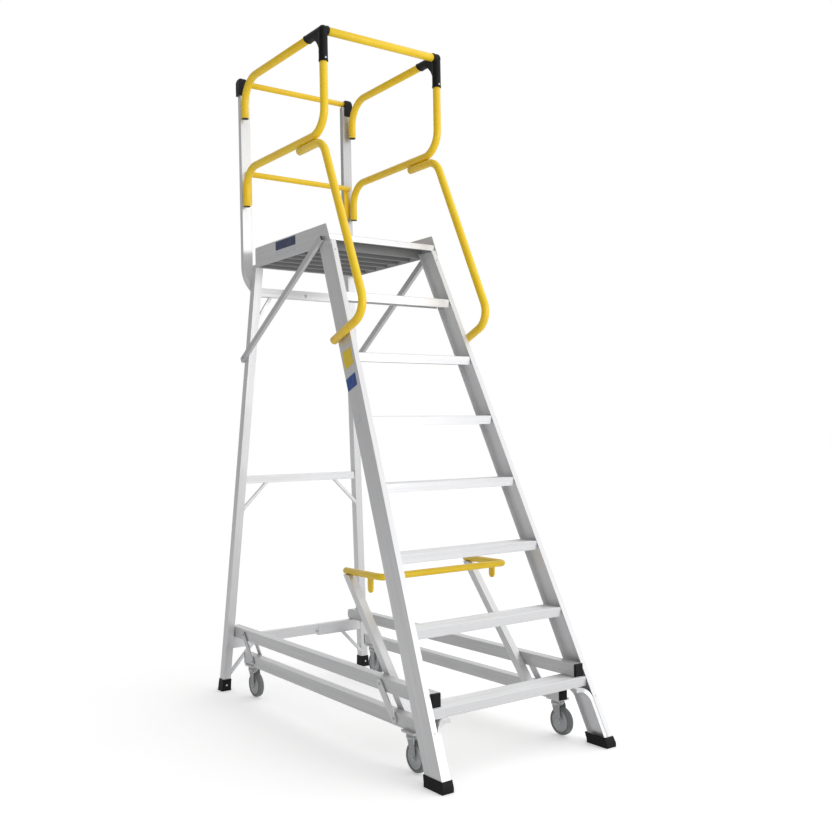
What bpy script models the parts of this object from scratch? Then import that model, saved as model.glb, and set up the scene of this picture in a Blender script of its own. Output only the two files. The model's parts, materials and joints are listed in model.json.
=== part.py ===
"""Rolling order-picker ladder: eight 285.7 mm rises, a guarded platform and a lever that lowers its castors.

Metres, +Z up. +X is the width, the climbing side faces -Y, and the origin is on the floor under the middle.
"""

import math

import bmesh
import bpy
from mathutils import Vector

# Driving dimensions
GAP = 0.0003
RISE = 0.2857
TREADS = 7
DECK_TOP = RISE * (TREADS + 1)
FOOT_FRONT = 0.006
FOOT_BACK = 1.992
Y0 = -(FOOT_FRONT + FOOT_BACK) / 2

SIDE_HALF = 0.460
SIDE_LEAN = 0.070
STILE_SLOPE = 0.4455
STILE_FLANGE = 0.0266
STILE_DEPTH = 0.1128
STILE_WALL = 0.004
STILE_LOW = 0.022
STILE_TOP = 2.2560

LEG_FRONT = 1.940
LEG_SLOPE = 0.079
LEG_X = 0.042
LEG_Y = 0.0455
LEG_TOP = 2.250

TREAD_DEPTH = 0.104
TREAD_NOSE = 0.040

DECK_REAR = 1.7582
BOARD_TOP = 2.334
BOARD_LOW = 2.231
BOARD_X = 0.3045

TUBE_R = 0.019
TOP_BAR_R = 0.0150
MID_BAR_R = 0.0145
MID_BAR_Z = 2.733
MID_BAR_HALF = 0.3155
GUARD_X = 0.325
GUARD_REAR_X = 0.331
GUARD_FRONT = 1.003
GUARD_TOP = 3.210
GUARD_MID = 2.748
POST_FRONT = 1.832
POST_DEPTH = 0.029
POST_IN = 0.288
POST_OUT = 0.3415
POST_TOP = 3.196
POST_BEND_Z = 2.245
POST_BEND_R = 0.185
CAP_IN = 0.300
CAP_OUT = 0.350
TUBE_REAR = 1.801
TOP_BAR_Z = 3.214
TOP_BAR_HALF = 0.3135

RAIL_W = 0.045
RAIL_H = 0.055
RAIL_TOP_Z = 0.3140
RAIL_LOW_Z = 0.1910
RAIL_FRONT = 0.150
RAIL_BACK = 1.974
LOW_FRONT = 0.245
LOW_BACK = 1.800

PIVOT_Y = 0.500
LINK_DY = 0.100
LEVER_REACH = 0.545
REAR_PIVOT_Y = 1.800
PIN_R = 0.006
BORE_R = 0.0064
OPEN_BORE_R = 0.0080

WHEEL_R = 0.0625
AXLE_Z = 0.0665
TRAIL = 0.025
FRONT_SWIVEL = 0.287
REAR_SWIVEL = 1.741
FRONT_SWIVEL_OUT = 0.010


def clear_scene():
    for obj in list(bpy.data.objects):
        bpy.data.objects.remove(obj, do_unlink=True)


def make_material(name, colour, metallic, roughness):
    material = bpy.data.materials.new(name)
    material.use_nodes = True
    shader = material.node_tree.nodes["Principled BSDF"]
    shader.inputs["Base Color"].default_value = (*colour, 1.0)
    shader.inputs["Metallic"].default_value = metallic
    shader.inputs["Roughness"].default_value = roughness
    return material


def material_for(kind, name):
    looks = {
        "aluminium": ((0.78, 0.79, 0.80), 0.9, 0.38),
        "yellow": ((0.95, 0.60, 0.03), 0.0, 0.35),
        "black": ((0.02, 0.02, 0.022), 0.0, 0.5),
        "rubber": ((0.015, 0.015, 0.015), 0.0, 0.8),
        "grey": ((0.30, 0.31, 0.32), 0.0, 0.55),
        "zinc": ((0.55, 0.56, 0.58), 0.9, 0.35),
    }
    return make_material("m_" + name, *looks[kind])


def y_at(y):
    """Depth from the front edge of the feet, moved so that the origin is under the middle."""
    return y + Y0


def side_x(z):
    return SIDE_HALF - SIDE_LEAN * z


def stile_y(z):
    return STILE_SLOPE * z


def leg_y(z):
    return LEG_FRONT - LEG_SLOPE * z


def rail_x(y):
    """Middle of the long rails, which splay 0.5 degrees from the rear legs to the stiles."""
    return 0.386 - 0.0155 * (y - RAIL_FRONT) / (RAIL_BACK - RAIL_FRONT)


def castor_x(y):
    """Swivel axis: under the middle of the rail at the back, a little outside it at the front."""
    return rail_x(y) + (FRONT_SWIVEL_OUT if y < 1.0 else 0.0)


def guard_x(y):
    """Middle of the guard tubes, which spread slightly from the front corners to the posts."""
    return GUARD_X + (GUARD_REAR_X - GUARD_X) * (y - GUARD_FRONT) / (TUBE_REAR - GUARD_FRONT)


def mesh_from(name, points, faces):
    mesh = bpy.data.meshes.new(name)
    mesh.from_pydata([(p[0], y_at(p[1]), p[2]) for p in points], [], faces)
    shell = bmesh.new()
    shell.from_mesh(mesh)
    bmesh.ops.recalc_face_normals(shell, faces=shell.faces)
    shell.to_mesh(mesh)
    shell.free()
    obj = bpy.data.objects.new(name, mesh)
    bpy.context.scene.collection.objects.link(obj)
    return obj


def loft(name, rings):
    """A closed body through rings of equal length, with a flat cap on each end."""
    count = len(rings[0])
    points = [point for ring in rings for point in ring]
    faces = [list(range(count)), [len(points) - count + i for i in range(count)]]
    for start in range(0, len(points) - count, count):
        for i in range(count):
            j = (i + 1) % count
            faces.append([start + i, start + j, start + count + j, start + count + i])
    return mesh_from(name, points, faces)


def pipe_loft(name, outer_ends, inner_ends):
    """A hollow section open at both ends, from two outer rings and two inner rings."""
    count = len(outer_ends[0])
    points = [p for ring in (*outer_ends, *inner_ends) for p in ring]
    faces = []
    for i in range(count):
        j = (i + 1) % count
        faces.append([i, j, count + j, count + i])
        faces.append([2 * count + i, 3 * count + i, 3 * count + j, 2 * count + j])
        faces.append([i, 2 * count + i, 2 * count + j, j])
        faces.append([count + i, count + j, 3 * count + j, 3 * count + i])
    return mesh_from(name, points, faces)


def box(name, x0, x1, y0, y1, z0, z1):
    ring = [(x0, y0), (x1, y0), (x1, y1), (x0, y1)]
    return loft(name, [[(x, y, z) for x, y in ring] for z in (z0, z1)])


def slab_x(name, outline, x0, x1):
    """An outline in Y and Z extruded along X."""
    return loft(name, [[(x, y, z) for y, z in outline] for x in (x0, x1)])


def slab_y(name, outline, y0, y1):
    """An outline in X and Z extruded along Y."""
    return loft(name, [[(x, y, z) for x, z in outline] for y in (y0, y1)])


def circle_ring(centre, axis_u, axis_v, radius, sides):
    turns = [2 * math.pi * i / sides for i in range(sides)]
    return [centre + radius * (math.cos(t) * axis_u + math.sin(t) * axis_v) for t in turns]


def rod(name, start, end, radius, sides=16):
    start = Vector(start)
    end = Vector(end)
    along = (end - start).normalized()
    helper = Vector((0, 0, 1)) if abs(along.z) < 0.9 else Vector((1, 0, 0))
    axis_u = along.cross(helper).normalized()
    axis_v = along.cross(axis_u)
    return loft(name, [circle_ring(p, axis_u, axis_v, radius, sides) for p in (start, end)])


def filleted(corners, radii, steps=5):
    """Points along a polyline whose inner corners are replaced by arcs of the given radii."""
    corners = [Vector(c) for c in corners]
    path = [corners[0]]
    for before, corner, after, radius in zip(corners, corners[1:], corners[2:], radii):
        to_before = (before - corner).normalized()
        to_after = (after - corner).normalized()
        half = to_before.angle(to_after) / 2
        reach = radius / math.tan(half)
        middle = corner + (to_before + to_after).normalized() * radius / math.sin(half)
        first = corner + to_before * reach - middle
        last = corner + to_after * reach - middle
        sweep = first.angle(last)
        for i in range(steps + 1):
            a = sweep * i / steps
            weight = math.sin(sweep)
            arm = first * (math.sin(sweep - a) / weight) + last * (math.sin(a) / weight)
            path.append(middle + arm)
    path.append(corners[-1])
    return path


def tube(name, path, radius, sides=16):
    """A round bar swept along a path without twisting."""
    tangents = []
    for i, point in enumerate(path):
        ahead = path[min(i + 1, len(path) - 1)] - point
        behind = point - path[max(i - 1, 0)]
        tangents.append((ahead.normalized() + behind.normalized()).normalized())
    helper = Vector((1, 0, 0)) if abs(tangents[0].x) < 0.9 else Vector((0, 0, 1))
    axis_u = tangents[0].cross(helper).normalized()
    rings = []
    for point, tangent in zip(path, tangents):
        axis_u = (axis_u - tangent * axis_u.dot(tangent)).normalized()
        rings.append(circle_ring(point, axis_u, tangent.cross(axis_u), radius, sides))
    return loft(name, rings)


def combine(target, tool, operation):
    """Applies an exact Boolean and drops the tool."""
    modifier = target.modifiers.new("cut", "BOOLEAN")
    modifier.object = tool
    modifier.operation = operation
    modifier.solver = "EXACT"
    graph = bpy.context.evaluated_depsgraph_get()
    result = bpy.data.meshes.new_from_object(target.evaluated_get(graph))
    target.modifiers.clear()
    target.data = result
    bpy.data.objects.remove(tool, do_unlink=True)
    return target


def join(target, *tools):
    for tool in tools:
        combine(target, tool, "UNION")
    return target


def cut(target, *tools):
    for tool in tools:
        combine(target, tool, "DIFFERENCE")
    return target


def finish(obj, kind, origin=None, smooth=False):
    """Gives the object its own material, shading and origin."""
    obj.data.materials.clear()
    obj.data.materials.append(material_for(kind, obj.name))
    for face in obj.data.polygons:
        face.material_index = 0
        face.use_smooth = smooth
    if smooth:
        obj.data.set_sharp_from_angle(angle=math.radians(35))
    if origin is not None:
        place = Vector((origin[0], y_at(origin[1]), origin[2]))
        for vertex in obj.data.vertices:
            vertex.co -= place
        obj.location = place
    return obj


# Fixed frame


def build_stile(side, tag):
    section = [
        (0.0, 0.0),
        (STILE_FLANGE, 0.0),
        (STILE_FLANGE, STILE_WALL),
        (STILE_WALL, STILE_WALL),
        (STILE_WALL, STILE_DEPTH - STILE_WALL),
        (STILE_FLANGE, STILE_DEPTH - STILE_WALL),
        (STILE_FLANGE, STILE_DEPTH),
        (0.0, STILE_DEPTH),
    ]
    rings = []
    for z in (STILE_LOW, STILE_TOP):
        rings.append([(side * (side_x(z) - u), stile_y(z) + v, z) for u, v in section])
    finish(loft("front_stile_" + tag, rings), "aluminium")


def tread_outline(top, front):
    """Ribbed top, deep nose and rear flange of an extruded tread, open underneath."""
    ribs = 8
    pitch = (TREAD_DEPTH - 0.008) / ribs
    points = [(0.0, -TREAD_NOSE), (0.0, -0.003), (0.003, 0.0)]
    for i in range(ribs):
        start = 0.004 + pitch * i
        points += [(start + 0.002, 0.0), (start + 0.003, -0.0016)]
        points += [(start + pitch - 0.003, -0.0016), (start + pitch - 0.002, 0.0)]
    points += [(TREAD_DEPTH, 0.0), (TREAD_DEPTH, -0.034), (TREAD_DEPTH - 0.003, -0.034)]
    points += [(TREAD_DEPTH - 0.003, -0.005), (0.0035, -0.005), (0.0035, -TREAD_NOSE + 0.003)]
    points += [(0.012, -TREAD_NOSE + 0.003), (0.012, -TREAD_NOSE)]
    return [(front + v, top + z) for v, z in points]


def build_tread(number):
    top = RISE * number
    outline = tread_outline(top, stile_y(top))
    rings = []
    for side in (-1, 1):
        edge = [side_x(z) - STILE_FLANGE - GAP for y, z in outline]
        rings.append([(side * x, y, z) for x, (y, z) in zip(edge, outline)])
    tread = loft("tread_%d" % number, rings)
    front = stile_y(top)
    levels = (top - 0.0295, top - 0.0045)
    for side in (-1, 1):
        tongue = []
        for z in levels:
            inner = side * (side_x(z) - STILE_FLANGE - 0.012)
            outer = side * (side_x(z) - STILE_WALL - GAP)
            ends = [(inner, front + 0.0042), (outer, front + 0.0042)]
            ends += [(outer, front + 0.0950), (inner, front + 0.0950)]
            tongue.append([(x, y, z) for x, y in ends])
        join(tread, loft("tongue", tongue))
    finish(tread, "aluminium")


def build_deck():
    """Cross planks with a nose at the front and a stiffening web under each joint."""
    front = stile_y(DECK_TOP)
    under = DECK_TOP - 0.006
    webs = [1.128, 1.232, 1.337, 1.442, 1.547, 1.652, DECK_REAR - 0.003]
    low = 2.2350
    outline = [(front, 2.2563), (front, DECK_TOP - 0.003), (front + 0.003, DECK_TOP)]
    grooves = 22
    pitch = (DECK_REAR - front - 0.008) / grooves
    for i in range(grooves):
        start = front + 0.004 + pitch * i
        outline += [(start + 0.003, DECK_TOP), (start + 0.0045, DECK_TOP - 0.0018)]
        outline += [(start + pitch - 0.0045, DECK_TOP - 0.0018), (start + pitch - 0.003, DECK_TOP)]
    outline += [(DECK_REAR, DECK_TOP), (DECK_REAR, low)]
    for web in reversed(webs):
        lip = 0.011 if web < DECK_REAR - 0.01 else 0.0
        if lip:
            outline += [(web + 0.003 + lip, low + 0.003), (web + 0.003 + lip, low)]
        outline += [(web, low), (web, under)]
        if web != webs[0]:
            outline += [(webs[webs.index(web) - 1] + 0.003, under)]
            outline += [(webs[webs.index(web) - 1] + 0.003, low + 0.003)]
    outline += [(front + 0.004, under), (front + 0.004, 2.2593)]
    outline += [(front + 0.014, 2.2593), (front + 0.014, 2.2563)]
    deck = slab_x("platform_deck", outline, -BOARD_X + GAP, BOARD_X - GAP)
    finish(deck, "aluminium")


def build_toe_board(side, tag):
    low_front = stile_y(BOARD_LOW)
    high_front = stile_y(BOARD_TOP) - 0.006
    outline = [(low_front, BOARD_LOW), (1.7615, BOARD_LOW), (1.7615, BOARD_TOP - 0.006)]
    outline += [(1.7555, BOARD_TOP), (high_front + 0.010, BOARD_TOP)]
    outline += [(high_front + 0.003, BOARD_TOP - 0.003), (high_front, BOARD_TOP - 0.010)]
    board = slab_x("toe_board_" + tag, outline, side * BOARD_X, side * (BOARD_X + 0.003))
    finish(board, "aluminium")


def build_rear_board():
    half = BOARD_X - GAP
    finish(box("toe_board_rear", -half, half, 1.7585, 1.7615, BOARD_LOW, BOARD_TOP), "aluminium")


def leg_ring(side, z, inset):
    x0 = side_x(z) - inset
    x1 = side_x(z) - LEG_X + inset
    y0 = leg_y(z) + inset
    y1 = leg_y(z) + LEG_Y - inset
    return [(side * x0, y0, z), (side * x1, y0, z), (side * x1, y1, z), (side * x0, y1, z)]


def build_leg(side, tag):
    ends = (0.006, LEG_TOP)
    outer = [leg_ring(side, z, 0.0) for z in ends]
    inner = [leg_ring(side, z, 0.0028) for z in ends]
    finish(pipe_loft("rear_leg_" + tag, outer, inner), "aluminium")


def inner_leg_x(z):
    return side_x(z) - LEG_X - GAP


def build_cross_bar(name, low, high, gusset_x, gusset_low, sleeve=False):
    """A bar between the rear legs with a welded diagonal gusset at each end."""
    middle = (low + high) / 2
    front = leg_y(middle) + 0.006
    back = front + 0.030
    outline = [(-inner_leg_x(low), low), (inner_leg_x(low), low)]
    outline += [(inner_leg_x(high), high), (-inner_leg_x(high), high)]
    bar = slab_y(name, outline, front, back)
    for side in (-1, 1):
        foot = gusset_low
        rise = 0.024
        strap = [
            (side * gusset_x, low + 0.004),
            (side * (gusset_x + 0.020), low + 0.004),
            (side * inner_leg_x(foot + rise), foot + rise),
            (side * inner_leg_x(foot), foot),
        ]
        join(bar, slab_y("gusset", strap, front + 0.006, back - 0.006))
        if sleeve:
            wide = [(side * 0.125, low - 0.010), (side * inner_leg_x(low - 0.010), low - 0.010)]
            wide += [(side * inner_leg_x(high), high), (side * 0.125, high)]
            join(bar, slab_y("sleeve", wide, front - 0.003, back + 0.003))
    finish(bar, "aluminium")


def shoe_outline(half, y0, y1, z, flare):
    x0, x1 = half
    return [(x0 - flare, y0, z), (x1 + flare, y0, z), (x1 + flare, y1, z), (x0 - flare, y1, z)]


def build_front_shoe(side, tag):
    """Rubber boot over the lower end of a stile and its brace, cut flat on the floor."""
    levels = ((0.0, 0.4100, 0.4660, FOOT_FRONT, 0.1260), (0.018, 0.4098, 0.4650, FOOT_FRONT, 0.1270))
    levels += ((0.045, 0.4082, 0.4603, 0.0172, 0.1365),)
    rings = []
    for z, inner, outer, front, back in levels:
        corners = [(inner, front), (outer, front), (outer, back), (inner, back)]
        rings.append([(side * x, y, z) for x, y in corners])
    shoe = loft("front_shoe_" + tag, rings)
    hollow = []
    for z in (STILE_LOW - 0.0018, 0.060):
        inner = side_x(z) - STILE_FLANGE - 0.0192
        outer = side_x(z) + GAP
        corners = [(inner, -GAP), (outer, -GAP), (outer, STILE_DEPTH + GAP), (inner, STILE_DEPTH + GAP)]
        hollow.append([(side * x, stile_y(z) + y, z) for x, y in corners])
    finish(cut(shoe, loft("hollow", hollow)), "rubber")


def build_rear_shoe(side, tag):
    rings = []
    for z, spread in ((0.0, 0.0065), (0.012, 0.0045), (0.062, 0.0032)):
        rings.append(leg_ring(side, z, -spread))
    shoe = loft("rear_shoe_" + tag, rings)
    hollow = loft("hollow", [leg_ring(side, z, -GAP) for z in (0.0057, 0.070)])
    finish(cut(shoe, hollow), "rubber")


def build_brace(side, tag):
    """Arched channel from the shoe up the inside of a stile to the underside of the first tread."""
    top = RISE - TREAD_NOSE - GAP
    face = STILE_FLANGE + GAP
    low = STILE_LOW
    start = Vector((side_x(low) - face, 0.0, low))
    corner_z = top
    corner = Vector((side_x(corner_z) - face, 0.0, corner_z))
    end = corner + Vector((-0.075, 0.0, 0.0))
    path = filleted([start, corner, end], [0.056], steps=7)
    rim = 0.018
    sheet = 0.003
    rings = []
    for i, point in enumerate(path):
        along = (path[min(i + 1, len(path) - 1)] - path[max(i - 1, 0)]).normalized()
        inward = Vector((-along.z, 0.0, along.x))
        section = [(0.0, 0.002), (rim, 0.002), (rim, 0.005), (sheet, 0.005)]
        section += [(sheet, STILE_DEPTH - 0.014), (rim, STILE_DEPTH - 0.014)]
        section += [(rim, STILE_DEPTH - 0.011), (0.0, STILE_DEPTH - 0.011)]
        ring = []
        for depth, v in section:
            spot = point + inward * depth
            ring.append((side * spot.x, stile_y(point.z) + v, spot.z))
        rings.append(ring)
    finish(loft("stile_brace_" + tag, rings), "aluminium")


def build_knee_strut(side, tag):
    """Open-ended rectangular tube from the toe board down to the outside of a rear leg."""
    start = Vector((0.0, 1.062, 2.268))
    end = Vector((0.0, 1.858, 1.752))
    along = (end - start).normalized()
    across = Vector((0.0, -along.z, along.y))
    depth = 0.018

    def ring(point, inset):
        corners = []
        for u, v in ((0, -1), (1, -1), (1, 1), (0, 1)):
            spot = point + across * v * (0.015 - inset)
            face = 0.3083 + 0.0565 * (2.272 - spot.z)
            offset = inset if u == 0 else depth - inset
            corners.append((side * (face + offset), spot.y, spot.z))
        return corners

    outer = [ring(p, 0.0) for p in (start, end)]
    inner = [ring(p, 0.0022) for p in (start, end)]
    finish(pipe_loft("knee_strut_" + tag, outer, inner), "aluminium")


# Guard rails


def build_post(side, tag):
    """Upright whose lower end curves forward and inward onto the back of a rear leg."""
    hub_y = POST_FRONT - POST_BEND_R
    steps = 8

    def spot(radius, turn):
        return hub_y + radius * math.cos(turn), POST_BEND_Z - radius * math.sin(turn)

    def last_turn(radius):
        """How far the arc turns before it meets the back of the leg."""
        turn = 0.0
        while spot(radius, turn)[0] > leg_y(spot(radius, turn)[1]) + LEG_Y + 0.0005:
            turn += 0.0005
        return turn

    radii = (POST_BEND_R, POST_BEND_R + POST_DEPTH)
    turns = [last_turn(radius) for radius in radii]
    levels = [((POST_FRONT, POST_TOP), (POST_FRONT + POST_DEPTH, POST_TOP), 0.0)]
    for i in range(steps + 1):
        front, back = (spot(radius, turn * i / steps) for radius, turn in zip(radii, turns))
        levels.append((front, back, (i / steps) ** 2))
    rings = []
    for front, back, share in levels:
        inner = side * (POST_IN - 0.020 * share)
        outer = side * (POST_OUT - 0.028 * share)
        rings.append([(inner, *front), (outer, *front), (outer, *back), (inner, *back)])
    post = loft("guard_post_" + tag, rings)
    x = side * 0.326
    for z in (2.576, 3.036):
        start = (x, TUBE_REAR + TUBE_R + GAP, z)
        join(post, rod("spacer", start, (x, POST_FRONT + 0.004, z), 0.0105, 14))
    finish(post, "aluminium")


def build_post_cap(side, tag):
    """Moulded cap over the outer part of a post's top, with a socket for the rear bar."""
    middle_y = POST_FRONT + POST_DEPTH / 2
    front = POST_FRONT - 0.006
    back = POST_FRONT + POST_DEPTH + 0.007
    rings = []
    for z, shrink in ((3.146, 0.0), (3.214, 0.0), (3.227, 0.003), (3.234, 0.007), (3.237, 0.012)):
        corners = [(CAP_IN + shrink, front + shrink), (CAP_OUT - shrink, front + shrink)]
        corners += [(CAP_OUT - shrink, back - shrink), (CAP_IN + shrink, back - shrink)]
        rings.append([(side * x, y, z) for x, y in corners])
    cap = loft("post_cap_" + tag, rings)
    mouth = (side * (CAP_IN - 0.02), middle_y, TOP_BAR_Z)
    seat = (side * (TOP_BAR_HALF + GAP), middle_y, TOP_BAR_Z)
    post = box(
        "post",
        side * (POST_IN - GAP),
        side * (POST_OUT + GAP),
        POST_FRONT - GAP,
        POST_FRONT + POST_DEPTH + GAP,
        3.10,
        POST_TOP + GAP,
    )
    cut(cap, post, rod("socket", mouth, seat, TOP_BAR_R + GAP))
    finish(cap, "black", smooth=True)


def build_corner(side, tag):
    """Three-way corner moulding with a curved gusset and a socket for each tube."""
    x = side * GUARD_X
    x_back = side * guard_x(1.159)
    sleeve = 0.0220
    corner = (x, GUARD_FRONT, GUARD_TOP)
    body = rod("guard_corner_" + tag, (x, GUARD_FRONT, 3.064), (x, GUARD_FRONT, 3.233), sleeve)
    rear = rod("rear", corner, (x_back, 1.159, GUARD_TOP), sleeve)
    cross = rod("cross", corner, (side * 0.2985, GUARD_FRONT, GUARD_TOP), sleeve)
    reach = 0.115
    hub = (GUARD_FRONT + 0.010 + reach, GUARD_TOP - 0.010 - reach)
    outline = [(GUARD_FRONT, GUARD_TOP), (GUARD_FRONT, hub[1])]
    for i in range(8):
        t = math.radians(180 - 90 * i / 7)
        outline.append((hub[0] + reach * math.cos(t), hub[1] + reach * math.sin(t)))
    outline.append((hub[0], GUARD_TOP))
    web = slab_x("web", outline, x - 0.013, x + 0.013)
    join(body, rear, cross, web)
    bore = TUBE_R + GAP
    down = rod("down", (x, GUARD_FRONT, 3.04), (x, GUARD_FRONT, 3.094), bore)
    rear_ends = [(side * guard_x(y), y, GUARD_TOP) for y in (1.1295, 1.19)]
    back = rod("back", *rear_ends, bore)
    cross_ends = [(side * x_end, GUARD_FRONT, GUARD_TOP) for x_end in (0.309, 0.27)]
    along = rod("along", *cross_ends, bore)
    finish(cut(body, down, back, along), "black", smooth=True)


def build_guard_tubes(side, tag):
    def guard_path(points, radii):
        return filleted([(side * guard_x(y), y, z) for y, z in points], radii)

    top = guard_path([(1.130, GUARD_TOP), (TUBE_REAR, GUARD_TOP), (TUBE_REAR, 3.016)], [0.130])
    finish(tube("top_side_rail_" + tag, top, TUBE_R), "yellow", smooth=True)
    loop = [(GUARD_FRONT, 3.0935), (GUARD_FRONT, GUARD_MID), (TUBE_REAR, GUARD_MID), (TUBE_REAR, 2.557)]
    finish(tube("side_loop_" + tag, guard_path(loop, [0.110, 0.110]), TUBE_R), "yellow", smooth=True)
    under = GUARD_MID - 2 * TUBE_R - GAP
    hand = [(0.326, 1.240, under), (0.326, 1.021, under), (0.346, 0.650, 1.881), (0.3562, 0.905, 1.775)]
    path = filleted([(side * x, y, z) for x, y, z in hand], [0.100, 0.090])
    finish(tube("handrail_" + tag, path, TUBE_R), "yellow", smooth=True)


def build_guard_bars():
    front = rod("front_top_bar", (-0.3085, GUARD_FRONT, GUARD_TOP), (0.3085, GUARD_FRONT, GUARD_TOP), TUBE_R)
    finish(front, "yellow", smooth=True)
    rear_ends = [(x, POST_FRONT + POST_DEPTH / 2, TOP_BAR_Z) for x in (-TOP_BAR_HALF, TOP_BAR_HALF)]
    rear = rod("rear_top_bar", *rear_ends, TOP_BAR_R)
    finish(rear, "yellow", smooth=True)
    build_mid_bar()


def build_mid_bar():
    """Bar across the posts, with a flattened end turned down on the front of each one."""
    back = POST_FRONT - GAP
    ends = [(x, back - MID_BAR_R, MID_BAR_Z) for x in (-MID_BAR_HALF, MID_BAR_HALF)]
    bar = rod("rear_mid_bar", *ends, MID_BAR_R)
    outer = MID_BAR_HALF
    inner = MID_BAR_HALF - 2 * MID_BAR_R
    low = 2.566
    for side in (-1, 1):
        outline = [(inner, MID_BAR_Z), (inner, low + 0.006), (inner + 0.006, low)]
        outline += [(outer - 0.006, low), (outer, low + 0.006), (outer, MID_BAR_Z)]
        join(bar, slab_y("flat", [(side * x, z) for x, z in outline], back - 0.0055, back))
    finish(bar, "yellow", smooth=True)


# Castor lift


def rail_body(name, side, front, back, height, round_back):
    low = height - RAIL_H / 2
    high = height + RAIL_H / 2
    outline = [(front, low)]
    if round_back:
        radius = 0.020
        for centre_z, start in ((low + radius, -90), (high - radius, 0)):
            for i in range(5):
                t = math.radians(start + 90 * i / 4)
                outline.append((back - radius + radius * math.cos(t), centre_z + radius * math.sin(t)))
    else:
        outline += [(back, low), (back, high)]
    outline.append((front, high))
    rings = []
    for edge in (-1, 1):
        rings.append([(side * (rail_x(y) + edge * RAIL_W / 2), y, z) for y, z in outline])
    return loft(name, rings)


def pin_hole(side, y, z, radius):
    return rod("hole", (side * 0.33, y, z), (side * 0.43, y, z), radius)


def build_upper_rail(side, tag):
    rail = rail_body("upper_rail_" + tag, side, RAIL_FRONT, RAIL_BACK, RAIL_TOP_Z, True)
    cut(rail, pin_hole(side, PIVOT_Y, RAIL_TOP_Z, BORE_R))
    cut(rail, pin_hole(side, REAR_PIVOT_Y, RAIL_TOP_Z, BORE_R))
    finish(rail, "aluminium")
    x = rail_x(0.145)
    rings = []
    for y, shrink in ((RAIL_FRONT - GAP, 0.0), (RAIL_FRONT - 0.009, 0.0), (RAIL_FRONT - 0.0115, 0.003)):
        w = RAIL_W / 2 - shrink
        h = RAIL_H / 2 - shrink
        corners = [(-w, -h), (w, -h), (w, h), (-w, h)]
        rings.append([(side * (x + u), y, RAIL_TOP_Z + v) for u, v in corners])
    finish(loft("rail_end_cap_" + tag, rings), "black")


def build_lower_rail(side, tag):
    """Moving rail with a castor plate welded under each end and bores for its pins."""
    rail = rail_body("lower_rail_" + tag, side, LOW_FRONT, LOW_BACK, RAIL_LOW_Z, False)
    under = RAIL_LOW_Z - RAIL_H / 2
    for y in (FRONT_SWIVEL, REAR_SWIVEL):
        x = side * castor_x(y)
        join(rail, box("plate", x - 0.030, x + 0.030, y - 0.041, y + 0.041, under - 0.006, under + 0.004))
    for y in (FRONT_SWIVEL, REAR_SWIVEL):
        x = side * castor_x(y)
        cut(rail, rod("king", (x, y, under - 0.02), (x, y, under + 0.006), BORE_R))
    cut(rail, pin_hole(side, PIVOT_Y - LINK_DY, RAIL_LOW_Z, BORE_R))
    cut(rail, pin_hole(side, REAR_PIVOT_Y - LINK_DY, RAIL_LOW_Z, OPEN_BORE_R))
    finish(rail, "aluminium", origin=(side * rail_x(PIVOT_Y), PIVOT_Y - LINK_DY, RAIL_LOW_Z))


def strap_outline(low, high, half, over):
    """A flat bar with rounded ends past both pin centres, as an outline in Y and Z."""
    low = Vector((low[0], low[1]))
    high = Vector((high[0], high[1]))
    along = (high - low).normalized()
    across = Vector((-along.y, along.x))
    outline = []
    for centre, facing in ((low, -1), (high, 1)):
        for i in range(7):
            t = math.pi * i / 6
            spot = centre + across * half * math.cos(t) * -facing + along * facing * over * math.sin(t)
            outline.append((spot.x, spot.y))
    return outline


def build_lever_arm(side, tag):
    """Lever arm inside the rails, its outer strap, and the two pins that pass through the rails."""
    pivot = (PIVOT_Y, RAIL_TOP_Z)
    lower = (PIVOT_Y - LINK_DY, RAIL_LOW_Z)
    along = Vector((pivot[0] - lower[0], pivot[1] - lower[1])).normalized()
    top = (pivot[0] + along.x * LEVER_REACH, pivot[1] + along.y * LEVER_REACH)
    inner_face = rail_x(PIVOT_Y) - RAIL_W / 2 - 0.0012
    outer_face = rail_x(lower[0]) + RAIL_W / 2 + 0.0012
    arm_outline = strap_outline(lower, top, 0.018, 0.018)
    level = 0.7262
    arm_outline = [(y, z) for y, z in arm_outline if z < level - 0.004]
    slope = along.x / along.y
    front_y = pivot[0] + (level - pivot[1]) * slope - 0.018 / along.y
    back_y = front_y + 0.036 / along.y
    arm_outline += [(back_y, level), (front_y, level)]
    middle = Vector((sum(p[0] for p in arm_outline) / len(arm_outline),
                     sum(p[1] for p in arm_outline) / len(arm_outline)))
    arm_outline.sort(key=lambda p: math.atan2(p[1] - middle.y, p[0] - middle.x))
    arm = slab_x("lever_arm_" + tag, arm_outline, side * (inner_face - 0.036), side * inner_face)
    strap_shape = strap_outline(lower, pivot, 0.018, 0.020)
    strap = slab_x("strap", strap_shape, side * outer_face, side * (outer_face + 0.006))
    pins = []
    for y, z in (pivot, lower):
        ends = (side * (inner_face - 0.010), y, z), (side * (outer_face + 0.012), y, z)
        pins.append(rod("pin", *ends, PIN_R, 12))
    join(arm, strap, *pins)
    finish(arm, "aluminium", origin=(side * inner_face, *pivot))


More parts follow.
